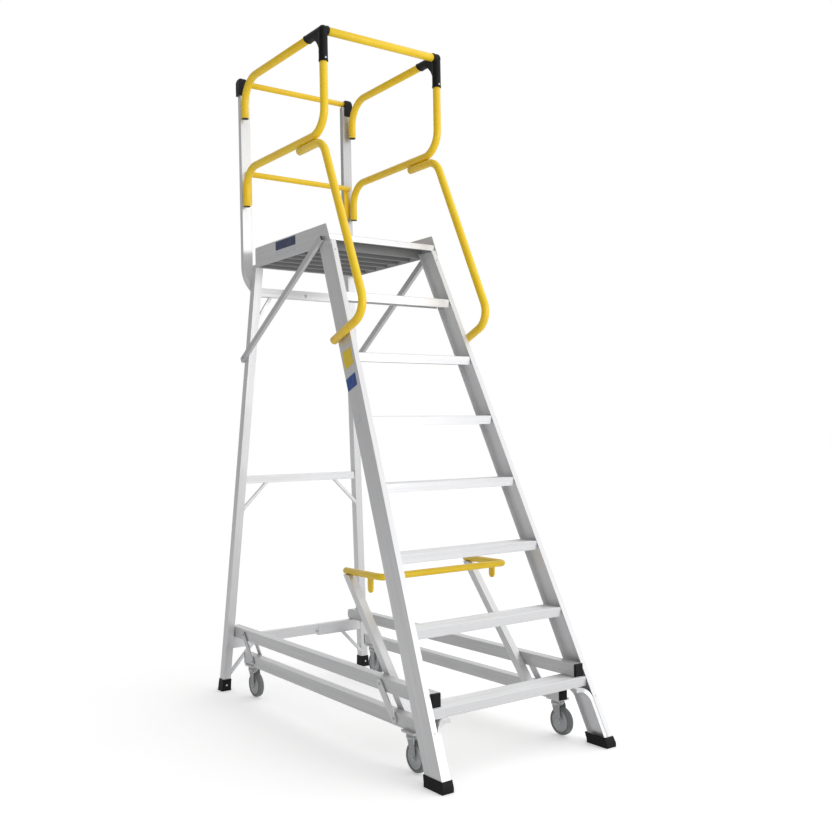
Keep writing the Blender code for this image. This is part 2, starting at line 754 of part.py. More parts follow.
def build_foot_bar():
    """Bent tube across both lever arms, with a lug under each side."""
    x = rail_x(PIVOT_Y) - RAIL_W / 2 - 0.0012 - 0.018
    radius = 0.0150
    z = 0.7262 + GAP + radius
    corners = [(-x, 0.862, z), (-x, 0.574, z), (x, 0.574, z), (x, 0.862, z)]
    bar = tube("foot_bar", filleted(corners, [0.020, 0.020], steps=5), radius)
    for side in (-1, 1):
        lug = [(0.643, z - 0.010), (0.643, z - 0.066), (0.649, z - 0.074), (0.661, z - 0.076)]
        lug += [(0.673, z - 0.074), (0.679, z - 0.066), (0.679, z - 0.010)]
        join(bar, slab_x("lug", lug, side * (x - 0.004), side * (x + 0.004)))
    finish(bar, "yellow", origin=(0.0, PIVOT_Y, RAIL_TOP_Z), smooth=True)


def build_swing_link(side, tag):
    """Rear link: a strap on each side of the rails, joined by its two pins."""
    pivot = (REAR_PIVOT_Y, RAIL_TOP_Z)
    lower = (REAR_PIVOT_Y - LINK_DY, RAIL_LOW_Z)
    inner_face = rail_x(pivot[0]) - RAIL_W / 2 - 0.0012
    outer_face = rail_x(lower[0]) + RAIL_W / 2 + 0.0012
    outline = strap_outline(lower, pivot, 0.014, 0.016)
    link = slab_x("swing_link_" + tag, outline, side * (inner_face - 0.006), side * inner_face)
    strap = slab_x("strap", outline, side * outer_face, side * (outer_face + 0.006))
    pins = []
    for y, z in (pivot, lower):
        ends = (side * (inner_face - 0.011), y, z), (side * (outer_face + 0.011), y, z)
        pins.append(rod("pin", *ends, PIN_R, 12))
    join(link, strap, *pins)
    finish(link, "zinc", origin=(side * inner_face, *pivot))


def build_castor(side, y, tag):
    """Swivel fork with its king pin and axle, and the wheel on it."""
    x = side * castor_x(y)
    under = RAIL_LOW_Z - RAIL_H / 2 - 0.006
    axle_y = y - TRAIL
    crown = rod("castor_fork_" + tag, (x, y, 0.1360), (x, y, under - GAP), 0.027, 16)
    join(crown, rod("king", (x, y, under - 0.004), (x, y, under + 0.0105), PIN_R, 16))
    join(crown, rod("neck", (x, y, 0.1315), (x, y, 0.150), 0.0225, 16))
    for edge in (-1, 1):
        outline = [(y + 0.020, 0.1500), (y - 0.022, 0.1500), (y - 0.030, 0.138)]
        for i in range(7):
            t = math.radians(185 + 170 * i / 6)
            outline.append((axle_y + 0.0145 * math.cos(t), AXLE_Z + 0.0145 * math.sin(t)))
        cheek = slab_x("cheek", outline, x + edge * 0.0178, x + edge * 0.0208)
        join(crown, cheek)
    join(crown, rod("axle", (x - 0.0265, axle_y, AXLE_Z), (x + 0.0265, axle_y, AXLE_Z), PIN_R, 16))
    finish(crown, "grey", origin=(x, y, AXLE_Z), smooth=True)
    half_profile = [(0.0165, BORE_R), (0.0165, 0.0130), (0.0080, 0.0165), (0.0080, 0.0410)]
    half_profile += [(0.0140, 0.0460), (0.0150, 0.0560), (0.0110, 0.0610), (0.0045, WHEEL_R)]
    profile = half_profile + [(-u, r) for u, r in reversed(half_profile)]
    sides = 20
    points = []
    faces = []
    count = len(profile)
    for i in range(sides):
        t = 2 * math.pi * i / sides
        for u, r in profile:
            points.append((x + u, axle_y + r * math.cos(t), AXLE_Z + r * math.sin(t)))
        for j in range(count):
            k = (j + 1) % count
            nxt = (i + 1) % sides
            faces.append([i * count + j, i * count + k, nxt * count + k, nxt * count + j])
    wheel = mesh_from("castor_wheel_" + tag, points, faces)
    finish(wheel, "grey", origin=(x, axle_y, AXLE_Z), smooth=True)


def build_all():
    clear_scene()
    for side, tag in ((-1, "L"), (1, "R")):
        build_stile(side, tag)
        build_toe_board(side, tag)
        build_leg(side, tag)
        build_front_shoe(side, tag)
        build_rear_shoe(side, tag)
        build_brace(side, tag)
        build_knee_strut(side, tag)
        build_post(side, tag)
        build_post_cap(side, tag)
        build_corner(side, tag)
        build_guard_tubes(side, tag)
        build_upper_rail(side, tag)
        build_lower_rail(side, tag)
        build_lever_arm(side, tag)
        build_swing_link(side, tag)
        build_castor(side, FRONT_SWIVEL, "front_" + tag)
        build_castor(side, REAR_SWIVEL, "rear_" + tag)
    for number in range(1, TREADS + 1):
        build_tread(number)
    build_deck()
    build_rear_board()
    build_cross_bar("cross_bar_top", 2.0855, 2.1310, 0.195, 1.965)
    build_cross_bar("cross_bar_mid", 1.1000, 1.1410, 0.200, 0.955)
    build_cross_bar("cross_bar_low", 0.2340, 0.2860, 0.265, 0.083, sleeve=True)
    build_guard_bars()
    build_foot_bar()


build_all()
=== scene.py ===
import json
import math
import random

import bmesh
import bpy
from mathutils import Matrix, Vector

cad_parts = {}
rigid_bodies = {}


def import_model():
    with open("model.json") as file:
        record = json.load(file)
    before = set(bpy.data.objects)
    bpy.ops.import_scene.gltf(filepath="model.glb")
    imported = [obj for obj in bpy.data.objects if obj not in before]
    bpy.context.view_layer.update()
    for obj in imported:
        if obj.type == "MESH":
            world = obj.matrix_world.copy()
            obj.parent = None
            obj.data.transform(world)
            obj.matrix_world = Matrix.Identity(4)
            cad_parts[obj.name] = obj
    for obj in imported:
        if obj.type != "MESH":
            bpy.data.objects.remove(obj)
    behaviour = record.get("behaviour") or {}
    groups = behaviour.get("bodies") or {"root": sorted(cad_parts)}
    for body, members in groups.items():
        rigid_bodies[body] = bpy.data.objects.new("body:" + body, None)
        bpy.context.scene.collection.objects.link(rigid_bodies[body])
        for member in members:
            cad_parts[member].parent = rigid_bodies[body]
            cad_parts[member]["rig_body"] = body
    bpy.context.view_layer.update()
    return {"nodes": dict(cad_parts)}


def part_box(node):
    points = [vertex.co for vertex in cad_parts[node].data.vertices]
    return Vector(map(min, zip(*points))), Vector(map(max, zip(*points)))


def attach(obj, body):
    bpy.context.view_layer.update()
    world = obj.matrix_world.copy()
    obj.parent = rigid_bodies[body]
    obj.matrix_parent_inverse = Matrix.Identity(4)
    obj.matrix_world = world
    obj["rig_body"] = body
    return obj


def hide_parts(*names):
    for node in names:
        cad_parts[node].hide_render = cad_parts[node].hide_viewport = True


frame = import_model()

FOOT_FRONT = 0.006
SIDES = ((-1, "L"), (1, "R"))


def origin_y():
    """World Y of the line where the stiles' front faces would meet the floor."""
    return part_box("front_shoe_L")[0].y - FOOT_FRONT


Y0 = origin_y()

# Driving dimensions of the ladder, in metres
SIDE_HALF = 0.460
SIDE_LEAN = 0.070
STILE_SLOPE = 0.4455
LEG_SLOPE = 0.079
TUBE_R = 0.019
TOP_BAR_R = 0.015
MID_BAR_R = 0.0145
FOOT_BAR_R = 0.015
GUARD_FRONT = 1.003
GUARD_TOP = 3.210
GUARD_MID = 2.748
TUBE_REAR = 1.801
FRONT_BAR_HALF = 0.3085
RAIL_HALF = 0.0225
RAIL_LOW_Z = 0.1910
PLATE_Y = {"front": 0.287, "rear": 1.741}
PLATE_THICK = 0.010
WELD_HALF = 0.036


def at(x, y, z):
    """A point whose Y is measured from the foot line of the stiles."""
    return Vector((x, y + Y0, z))


def side_x(z):
    return SIDE_HALF - SIDE_LEAN * z


def stile_y(z):
    return STILE_SLOPE * z


def leg_y(z):
    return 1.940 - LEG_SLOPE * z


def guard_x(y):
    return 0.325 + 0.006 * (y - GUARD_FRONT) / (TUBE_REAR - GUARD_FRONT)


def rail_x(y):
    return 0.386 - 0.0155 * (y - 0.150) / 1.824


# Materials


def new_material(name):
    material = bpy.data.materials.new(name)
    material.use_nodes = True
    return material, material.node_tree, material.node_tree.nodes["Principled BSDF"]


def noise(tree, size, detail=4.0, along=None, offset=0.0, roughness=0.55):
    """Noise whose features are size metres; a vector size stretches them, its Z lying along a direction."""
    nodes = tree.nodes
    coords = nodes.new("ShaderNodeTexCoord")
    mapping = nodes.new("ShaderNodeMapping")
    mapping.vector_type = "TEXTURE"
    sizes = size if isinstance(size, tuple) else (size, size, size)
    mapping.inputs["Scale"].default_value = sizes
    mapping.inputs["Location"].default_value = (offset, offset * 0.7, offset * 0.3)
    if along is not None:
        mapping.inputs["Rotation"].default_value = Vector(along).to_track_quat("Z", "Y").to_euler()
    texture = nodes.new("ShaderNodeTexNoise")
    texture.inputs["Scale"].default_value = 1.0
    texture.inputs["Detail"].default_value = detail
    texture.inputs["Roughness"].default_value = roughness
    tree.links.new(coords.outputs["Object"], mapping.inputs["Vector"])
    tree.links.new(mapping.outputs["Vector"], texture.inputs["Vector"])
    return texture.outputs["Fac"]


def spread(tree, value, low, high, to_low, to_high):
    """Maps a value's range onto another, clamped."""
    node = tree.nodes.new("ShaderNodeMapRange")
    numbers = {"From Min": low, "From Max": high, "To Min": to_low, "To Max": to_high}
    for socket, number in numbers.items():
        node.inputs[socket].default_value = number
    tree.links.new(value, node.inputs["Value"])
    return node.outputs["Result"]


def blend_colours(tree, factor, first, second):
    """Mixes two colours, each a tuple or a socket, by a factor socket."""
    node = tree.nodes.new("ShaderNodeMix")
    node.data_type = "RGBA"
    tree.links.new(factor, node.inputs[0])
    for index, colour in ((6, first), (7, second)):
        if isinstance(colour, tuple):
            node.inputs[index].default_value = (*colour, 1.0)
        else:
            tree.links.new(colour, node.inputs[index])
    return node.outputs[2]


def add_bump(tree, shader, height, strength, distance):
    node = tree.nodes.new("ShaderNodeBump")
    node.inputs["Strength"].default_value = strength
    node.inputs["Distance"].default_value = distance
    tree.links.new(height, node.inputs["Height"])
    tree.links.new(node.outputs["Normal"], shader.inputs["Normal"])


def aluminium(name, along, tone=0.80, metallic=0.62, rough=0.36):
    """Extruded aluminium: die lines along the length, faint mottling and small dull scuffs."""
    material, tree, shader = new_material(name)
    lines = noise(tree, (0.0022, 0.0022, 0.55), 5.0, along)
    broad = noise(tree, (0.016, 0.016, 0.9), 2.0, along, 3.1)
    mottle = noise(tree, 0.11, 4.0, None, 7.7)
    scuffs = noise(tree, (0.004, 0.004, 0.030), 3.0, along, 1.3, 0.7)
    light = (tone, tone, tone * 1.008)
    dull = (tone * 0.86, tone * 0.865, tone * 0.88)
    colour = blend_colours(tree, spread(tree, lines, 0.36, 0.64, 0.0, 1.0), dull, light)
    colour = blend_colours(tree, spread(tree, broad, 0.35, 0.7, 0.0, 0.45), colour, dull)
    colour = blend_colours(tree, spread(tree, mottle, 0.50, 0.78, 0.0, 0.35), colour, dull)
    marks = spread(tree, scuffs, 0.66, 0.76, 0.0, 0.55)
    colour = blend_colours(tree, marks, colour, (tone * 0.60, tone * 0.60, tone * 0.61))
    tree.links.new(colour, shader.inputs["Base Color"])
    tree.links.new(spread(tree, broad, 0.3, 0.7, rough - 0.05, rough + 0.09), shader.inputs["Roughness"])
    shader.inputs["Metallic"].default_value = metallic
    add_bump(tree, shader, lines, 0.22, 0.0003)
    return material


def powder_coat(name):
    """Yellow powder coat with a fine orange-peel surface, rubbed a little paler in scattered streaks."""
    material, tree, shader = new_material(name)
    peel = noise(tree, 0.0016, 2.0)
    cloud = noise(tree, 0.09, 3.0, None, 2.2)
    rubs = noise(tree, (0.006, 0.006, 0.020), 4.0, (0.0, 0.3, 1.0), 5.0, 0.7)
    base = (0.960, 0.675, 0.024)
    deep = (0.950, 0.620, 0.017)
    pale = (0.960, 0.700, 0.080)
    colour = blend_colours(tree, spread(tree, cloud, 0.35, 0.65, 0.0, 1.0), deep, base)
    colour = blend_colours(tree, spread(tree, rubs, 0.68, 0.84, 0.0, 0.4), colour, pale)
    tree.links.new(colour, shader.inputs["Base Color"])
    tree.links.new(spread(tree, cloud, 0.3, 0.7, 0.27, 0.38), shader.inputs["Roughness"])
    shader.inputs["Coat Weight"].default_value = 0.20
    shader.inputs["Coat Roughness"].default_value = 0.20
    shader.inputs["Specular IOR Level"].default_value = 0.35
    add_bump(tree, shader, peel, 0.10, 0.00008)
    return material


def moulded(name, colour, rough, grain=0.0011, lift=0.00016, worn=1.9):
    """Moulded plastic or rubber with a fine spark-eroded grain and faint pale rubbing."""
    material, tree, shader = new_material(name)
    texture = noise(tree, grain, 3.0)
    cloud = noise(tree, 0.035, 4.0, None, 4.4)
    pale = tuple(min(1.0, c * worn + 0.002) for c in colour)
    tree.links.new(
        blend_colours(tree, spread(tree, cloud, 0.45, 0.75, 0.0, 0.8), colour, pale),
        shader.inputs["Base Color"],
    )
    tree.links.new(spread(tree, cloud, 0.3, 0.7, rough - 0.06, rough + 0.10), shader.inputs["Roughness"])
    shader.inputs["Specular IOR Level"].default_value = 0.20
    add_bump(tree, shader, texture, 0.45, lift)
    return material


def plated(name, colour, metallic, rough):
    """Zinc-plated steel with a crystalline mottle."""
    material, tree, shader = new_material(name)
    spangle = noise(tree, 0.006, 5.0, None, 1.0, 0.65)
    dull = tuple(c * 0.72 for c in colour)
    tree.links.new(
        blend_colours(tree, spread(tree, spangle, 0.35, 0.65, 0.0, 1.0), dull, colour),
        shader.inputs["Base Color"],
    )
    tree.links.new(spread(tree, spangle, 0.3, 0.7, rough - 0.06, rough + 0.10), shader.inputs["Roughness"])
    shader.inputs["Metallic"].default_value = metallic
    add_bump(tree, shader, spangle, 0.15, 0.0002)
    return material


def printed(name, colour):
    """Blank vinyl label: an even colour with slight fading and a soft sheen."""
    material, tree, shader = new_material(name)
    fade = noise(tree, 0.030, 4.0, None, 6.0)
    pale = tuple(0.82 * c + 0.10 for c in colour)
    tree.links.new(
        blend_colours(tree, spread(tree, fade, 0.45, 0.75, 0.0, 0.5), colour, pale),
        shader.inputs["Base Color"],
    )
    tree.links.new(spread(tree, fade, 0.3, 0.7, 0.32, 0.48), shader.inputs["Roughness"])
    return material


# Name and grain direction of each aluminium material, then its tone and metallic share where they differ; the
# far guard post's darker tone is painted shade, and the far stile's paler, less metallic copy is painted
# light
ALUMINIUM_VARIANTS = {
    "x": ("aluminium_x", (1.0, 0.0, 0.0)),
    "y": ("aluminium_y", (0.0, 1.0, 0.0)),
    "z": ("aluminium_z", (0.0, 0.0, 1.0)),
    "rail": ("aluminium_rail", (0.0, 1.0, 0.0), 0.69),
    # The far guard post's darker tone is painted shade.
    "post": ("aluminium_post_R_painted_shade", (0.0, 0.0, 1.0), 0.60),
    "stile_L": ("aluminium_stile_L", (SIDE_LEAN, STILE_SLOPE, 1.0)),
    # The far stile's paler, less metallic copy is painted light that brightens its shaded inner web.
    "stile_R": ("aluminium_stile_R_painted_light", (-SIDE_LEAN, STILE_SLOPE, 1.0), 0.86, 0.28),
    "leg_L": ("aluminium_leg_L", (SIDE_LEAN, -LEG_SLOPE, 1.0)),
    "leg_R": ("aluminium_leg_R", (-SIDE_LEAN, -LEG_SLOPE, 1.0)),
    "strut": ("aluminium_brace", (0.0, -0.796, 0.516), 0.68),
    "lever": ("aluminium_lever", (0.0, 0.631, 0.776)),
}
ALUMINIUM = {key: aluminium(*finish) for key, finish in ALUMINIUM_VARIANTS.items()}
YELLOW = powder_coat("yellow_powder_coat")
BLACK = moulded("black_plastic", (0.0055, 0.0055, 0.0060), 0.40)
RUBBER = moulded("black_rubber", (0.0040, 0.0040, 0.0042), 0.50, 0.0016, 0.00025, 1.8)
TYRE = moulded("grey_tyre", (0.190, 0.194, 0.195), 0.60, 0.0014, 0.0002, 1.5)
HUB = moulded("grey_hub", (0.500, 0.515, 0.525), 0.45, 0.0022, 0.0003, 1.35)
FORK = plated("fork_zinc", (0.46, 0.47, 0.48), 0.45, 0.36)
# Darker, duller aluminium for the deck's underside: painted shade under the platform.
SHADED_UNDERSIDE = aluminium("aluminium_underside_painted_shade", (1.0, 0.0, 0.0), 0.33, 0.25, 0.55)
ZINC = plated("bright_zinc", (0.68, 0.69, 0.70), 0.85, 0.30)
WELD = plated("weld_metal", (0.66, 0.66, 0.67), 0.75, 0.40)


# Mesh helpers


class Shape:
    """Points and faces of one piece, gathered from turned and lofted forms."""

    def __init__(self):
        self.points = []
        self.faces = []

    def rings(self, rings, caps=True, closed=False):
        """Joins rings of equal length; closed also joins the last ring to the first."""
        start = len(self.points)
        count = len(rings[0])
        for ring in rings:
            self.points.extend(Vector(p) for p in ring)
        spans = len(rings) if closed else len(rings) - 1
        for k in range(spans):
            a = start + k * count
            b = start + ((k + 1) % len(rings)) * count
            for i in range(count):
                j = (i + 1) % count
                self.faces.append([a + i, a + j, b + j, b + i])
        if caps and not closed:
            self.faces.append([start + i for i in range(count)])
            self.faces.append([start + (len(rings) - 1) * count + i for i in range(count)])
        return self

    def lathe(self, centre, axis, profile, sides=32, closed=False, turn=0.0):
        """A profile of (distance along the axis, radius) turned about the axis through the centre."""
        axis = Vector(axis).normalized()
        helper = Vector((0, 0, 1)) if abs(axis.z) < 0.9 else Vector((1, 0, 0))
        u = axis.cross(helper).normalized()
        v = axis.cross(u)
        centre = Vector(centre)
        rings = []
        for along, radius in profile:
            ring = []
            for i in range(sides):
                t = turn + 2 * math.pi * i / sides
                ring.append(centre + axis * along + (u * math.cos(t) + v * math.sin(t)) * radius)
            rings.append(ring)
        return self.rings(rings, caps=True, closed=closed)

    def prism(self, outline, offset):
        """A flat outline of points pushed along an offset vector."""
        return self.rings([[Vector(p) for p in outline], [Vector(p) + Vector(offset) for p in outline]])

    def piece(self, name, material, body, slot, replaced=(), angle=35.0, bevel=0.0):
        mesh = bpy.data.meshes.new(name)
        mesh.from_pydata(self.points, [], self.faces)
        shell = bmesh.new()
        shell.from_mesh(mesh)
        bmesh.ops.remove_doubles(shell, verts=shell.verts, dist=1e-7)
        bmesh.ops.recalc_face_normals(shell, faces=shell.faces)
        shell.to_mesh(mesh)
        shell.free()
        return install(mesh, name, material, body, replaced, angle, bevel)


def install(mesh, name, material, body, replaced=(), angle=35.0, bevel=0.0):
    """Puts a finished mesh in the scene on its body, shaded smooth except at real edges."""
    mesh.materials.clear()
    mesh.materials.append(material)
    for face in mesh.polygons:
        face.use_smooth = True
    mesh.set_sharp_from_angle(angle=math.radians(angle))
    obj = bpy.data.objects.new(name, mesh)
    bpy.context.scene.collection.objects.link(obj)
    if bevel:
        rounding = obj.modifiers.new("edges", "BEVEL")
        rounding.width = bevel
        rounding.segments = 2
        rounding.limit_method = "ANGLE"
        rounding.angle_limit = math.radians(32)
        rounding.harden_normals = True
        rounding.miter_outer = "MITER_ARC"
    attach(obj, body)
    if replaced:
        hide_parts(*replaced)
    return obj


def body_of(node):
    return frame["nodes"][node]["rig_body"]


def refined(node, material, bevel, angle=32.0):
    """The CAD solid with its flat faces made whole and its edges rounded over."""
    shell = bmesh.new()
    shell.from_mesh(frame["nodes"][node].data)
    bmesh.ops.remove_doubles(shell, verts=shell.verts, dist=2e-5)
    bmesh.ops.dissolve_limit(
        shell, angle_limit=math.radians(0.6), verts=shell.verts, edges=shell.edges
    )
    shell.verts.ensure_lookup_table()
    points = [v.co.copy() for v in shell.verts]
    for index, vertex in enumerate(shell.verts):
        vertex.index = index
    faces = [[v.index for v in face.verts] for face in shell.faces]
    shell.free()
    mesh = bpy.data.meshes.new(node + "_finish")
    mesh.from_pydata(points, [], faces)
    return install(mesh, node + "_finish", material, body_of(node), (node,), angle, bevel)


def filleted(corners, radii, steps=14):
    """Points along a polyline whose inner corners become arcs of the given radii."""
    corners = [Vector(c) for c in corners]
    path = [corners[0]]
    for before, corner, after, radius in zip(corners, corners[1:], corners[2:], radii):
        to_before = (before - corner).normalized()
        to_after = (after - corner).normalized()
        half = to_before.angle(to_after) / 2
        middle = corner + (to_before + to_after).normalized() * radius / math.sin(half)
        first = corner + to_before * radius / math.tan(half) - middle
        last = corner + to_after * radius / math.tan(half) - middle
        sweep = first.angle(last)
        for i in range(steps + 1):
            a = sweep * i / steps
            arm = first * math.sin(sweep - a) + last * math.sin(a)
            path.append(middle + arm / math.sin(sweep))
    path.append(corners[-1])
    return path


def tube(name, path, radius, body, node, sides=40, wall=0.0022, recess=0.014, extra=None):
    """A round tube swept without twisting along a path, with a real wall at each open end."""
    tangents = []
    for i, point in enumerate(path):
        ahead = path[min(i + 1, len(path) - 1)] - point
        behind = point - path[max(i - 1, 0)]
        tangents.append((ahead.normalized() + behind.normalized()).normalized())
    helper = Vector((1, 0, 0)) if abs(tangents[0].x) < 0.9 else Vector((0, 0, 1))
    axis = tangents[0].cross(helper).normalized()
    frames = []
    for point, tangent in zip(path, tangents):
        axis = (axis - tangent * axis.dot(tangent)).normalized()
        frames.append((point, tangent, axis, tangent.cross(axis)))

    def ring(where, size, shift=0.0):
        point, tangent, u, v = frames[where]
        turns = [2 * math.pi * i / sides for i in range(sides)]
        return [point + tangent * shift + (u * math.cos(t) + v * math.sin(t)) * size for t in turns]

    lip = 0.0005
    rings = [ring(0, radius - wall, recess), ring(0, radius - wall), ring(0, radius - lip)]
    rings.append(ring(0, radius, lip))
    rings += [ring(i, radius) for i in range(1, len(path) - 1)]
    rings += [ring(-1, radius, -lip), ring(-1, radius - lip), ring(-1, radius - wall)]
    rings.append(ring(-1, radius - wall, -recess))
    shape = extra if extra is not None else Shape()
    shape.rings(rings)
    return shape.piece(name, YELLOW, body, node, (node,), 50.0)


def plug(shape, centre, outward, radius):
    """A push-in end plug: a low domed flange over the end of a tube."""
    profile = [(-0.010, radius - 0.0026), (0.0, radius - 0.0026), (0.0, radius - 0.0006)]
    profile += [(0.0010, radius - 0.0004), (0.0020, radius - 0.0014), (0.0026, radius * 0.6), (0.0028, 0.0)]
    shape.lathe(centre, outward, profile, 36)


def rivet(shape, centre, outward, radius=0.0048, height=0.0024):
    """A domed rivet head with a small dimple."""
    profile = [(-0.0006, radius), (0.0004, radius)]
    for i in range(1, 6):
        t = math.radians(15 * i)
        profile.append((0.0004 + (height - 0.0004) * math.sin(t), radius * math.cos(t)))
    profile += [(height, radius * 0.24), (height - 0.0007, radius * 0.16), (height - 0.0007, 0.0)]
    shape.lathe(centre, outward, profile, 24)


def bolt(shape, centre, outward, size=0.0065, turn=0.2):
    """A hexagon head with a turned chamfer over a washer."""
    washer = [(-0.0005, size * 1.45), (0.0013, size * 1.45), (0.0016, size * 1.36), (0.0016, 0.0)]
    shape.lathe(centre, outward, washer, 32)
    head = [(0.0012, size), (0.0055, size), (0.0066, size * 0.86), (0.0066, 0.0)]
    shape.lathe(centre, outward, head, 6, turn=turn)


def weld(shape, start, end, radius, generator):
    """A ripple-topped weld bead between two points."""
    start = Vector(start)
    end = Vector(end)
    length = (end - start).length
    count = max(6, int(length / 0.0011))
    profile = [(0.0, 0.0)]
    for i in range(1, count):
        share = i / count
        swell = min(1.0, 4.0 * min(share, 1 - share) * length / (4 * radius) + 0.35)
        ripple = 0.90 + 0.10 * math.cos(2 * math.pi * share * length / 0.0034)
        ripple += generator.uniform(-0.03, 0.03)
        profile.append((share * length, radius * ripple * swell))
    profile.append((length, 0.0))
    shape.lathe(start, end - start, profile, 12)


# Carried-over solids with rounded edges and their own finish


def dress_frame():
    plain = {
        "x": ["platform_deck", "toe_board_rear", "cross_bar_top", "cross_bar_mid", "cross_bar_low"],
        "y": ["toe_board_L", "toe_board_R"],
        "rail": ["upper_rail_L", "upper_rail_R", "lower_rail_L", "lower_rail_R"],
        "z": ["guard_post_L", "stile_brace_L", "stile_brace_R"],
        # guard_post_R takes the darker aluminium, which paints in its shade.
        "post": ["guard_post_R"],
        "stile_L": ["front_stile_L"],
        # front_stile_R takes the paler aluminium copy, which paints light onto its inner web.
        "stile_R": ["front_stile_R"],
        "leg_L": ["rear_leg_L"],
        "leg_R": ["rear_leg_R"],
        "strut": ["knee_strut_L", "knee_strut_R"],
        "lever": ["lever_arm_L", "lever_arm_R"],
    }
    plain["x"] += ["tread_%d" % number for number in range(1, 8)]
    for key, nodes in plain.items():
        for node in nodes:
            refined(node, ALUMINIUM[key], 0.0007)
    # Faces under the deck top, behind the nosing, take the darker aluminium as painted shade.
    deck = bpy.data.objects["platform_deck_finish"].data
    deck.materials.append(SHADED_UNDERSIDE)
    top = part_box("platform_deck")[1].z
    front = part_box("platform_deck")[0].y
    for face in deck.polygons:
        if face.center.z < top - 0.004 and face.center.y > front + 0.006:
            face.material_index = 1
    for side, tag in SIDES:
        refined("swing_link_" + tag, ZINC, 0.0007)
        refined("rail_end_cap_" + tag, BLACK, 0.0012)
        refined("front_shoe_" + tag, RUBBER, 0.0050)
        refined("rear_shoe_" + tag, RUBBER, 0.0040)
        refined("post_cap_" + tag, BLACK, 0.0012)
        build_corner(side, tag)
        for end in ("front_", "rear_"):
            refined("castor_fork_" + end + tag, FORK, 0.0006)


def build_corner(side, tag):
    """Three-way corner moulding: sleeves with collars, drawn together by a rounded gusset."""
    x = side * guard_x(GUARD_FRONT)
    corner = at(x, GUARD_FRONT, GUARD_TOP)
    body = Shape()
    ends = [at(x, GUARD_FRONT, 3.0645), at(side * guard_x(1.159), 1.159, GUARD_TOP)]
    ends.append(at(side * 0.2990, GUARD_FRONT, GUARD_TOP))
    for end in ends:
        reach = (end - corner).length
        profile = [(-0.0215, 0.0), (-0.0195, 0.012), (-0.0120, 0.0195), (0.0, 0.0216)]
        profile += [(reach - 0.0120, 0.0216), (reach - 0.0100, 0.0228), (reach - 0.0010, 0.0228)]
        profile += [(reach, 0.0220), (reach, 0.0)]
        body.lathe(corner, end - corner, profile, 48)
    for point in body.points:
        if point.y > Y0 + 1.140:
            point.y -= 0.55 * (GUARD_TOP + 0.0228 - point.z)
    reach = 0.115
    hub = (GUARD_FRONT + 0.010 + reach, GUARD_TOP - 0.010 - reach)
    outline = [(GUARD_FRONT, GUARD_TOP), (GUARD_FRONT, hub[1])]
    for i in range(25):
        t = math.radians(180 - 90 * i / 24)
        outline.append((hub[0] + reach * math.cos(t), hub[1] + reach * math.sin(t)))
    outline.append((hub[0], GUARD_TOP))
    body.prism([at(x - 0.0155, y, z) for y, z in outline], (0.031, 0, 0))
    name = "corner_moulding_" + tag
    node = "guard_corner_" + tag
    obj = body.piece(name, BLACK, "frame", node, (node,), 60.0)
    whole = obj.modifiers.new("one_body", "REMESH")
    whole.mode = "VOXEL"
    whole.voxel_size = 0.0016
    whole.use_smooth_shade = True
    soft = obj.modifiers.new("soft_edges", "SMOOTH")
    soft.factor = 0.5
    soft.iterations = 8


# Yellow guard rails


def build_guard():
    ends = Shape()
    for side, tag in SIDES:
        top = [(1.130, GUARD_TOP), (TUBE_REAR, GUARD_TOP), (TUBE_REAR, 3.016)]
        path = filleted([at(side * guard_x(y), y, z) for y, z in top], [0.130])
        tube("guard_top_" + tag, path, TUBE_R, "frame", "top_side_rail_" + tag)
        plug(ends, path[-1], (0, 0, -1), TUBE_R)
        loop = [(GUARD_FRONT, 3.0935), (GUARD_FRONT, GUARD_MID)]
        loop += [(TUBE_REAR, GUARD_MID), (TUBE_REAR, 2.557)]
        path = filleted([at(side * guard_x(y), y, z) for y, z in loop], [0.110, 0.110])
        tube("guard_loop_" + tag, path, TUBE_R, "frame", "side_loop_" + tag)
        plug(ends, path[-1], (0, 0, -1), TUBE_R)
        under = GUARD_MID - 2 * TUBE_R - 0.0003
        hand = [(0.326, 1.240, under), (0.326, 1.021, under)]
        hand += [(0.346, 0.650, 1.881), (0.3562, 0.905, 1.775)]
        path = filleted([at(side * x, y, z) for x, y, z in hand], [0.100, 0.090])
        tube("hand_tube_" + tag, path, TUBE_R, "frame", "handrail_" + tag)
        plug(ends, path[0], path[0] - path[1], TUBE_R)
        plug(ends, path[-1], path[-1] - path[-2], TUBE_R)
    ends.piece("guard_end_plugs", BLACK, "frame", "guard_corner_L")
    front = [at(x, GUARD_FRONT, GUARD_TOP) for x in (-FRONT_BAR_HALF, 0.0, FRONT_BAR_HALF)]
    tube("guard_front_bar", front, TUBE_R, "frame", "front_top_bar")
    low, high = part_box("rear_top_bar")
    middle = (low + high) / 2
    rear = [Vector((x, middle.y, middle.z)) for x in (low.x, 0.0, high.x)]
    tube("guard_rear_bar", rear, TOP_BAR_R, "frame", "rear_top_bar")
    low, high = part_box("rear_mid_bar")
    height = high.z - MID_BAR_R
    flats = Shape()
    for side in (-1, 1):
        outline = []
        for i in range(13):
            t = math.radians(180 + 180 * i / 12)
            x = high.x - MID_BAR_R + MID_BAR_R * math.cos(t)
            z = low.z + MID_BAR_R + MID_BAR_R * math.sin(t)
            outline.append(Vector((side * x, high.y, z)))
        for x in (high.x, high.x - 2 * MID_BAR_R):
            outline.append(Vector((side * x, high.y, height + 0.008)))
        flats.prism(outline, (0, -0.0055, 0))
    path = [Vector((x, high.y - MID_BAR_R, height)) for x in (low.x, 0.0, high.x)]
    tube("guard_mid_bar", path, MID_BAR_R, "frame", "rear_mid_bar", extra=flats)


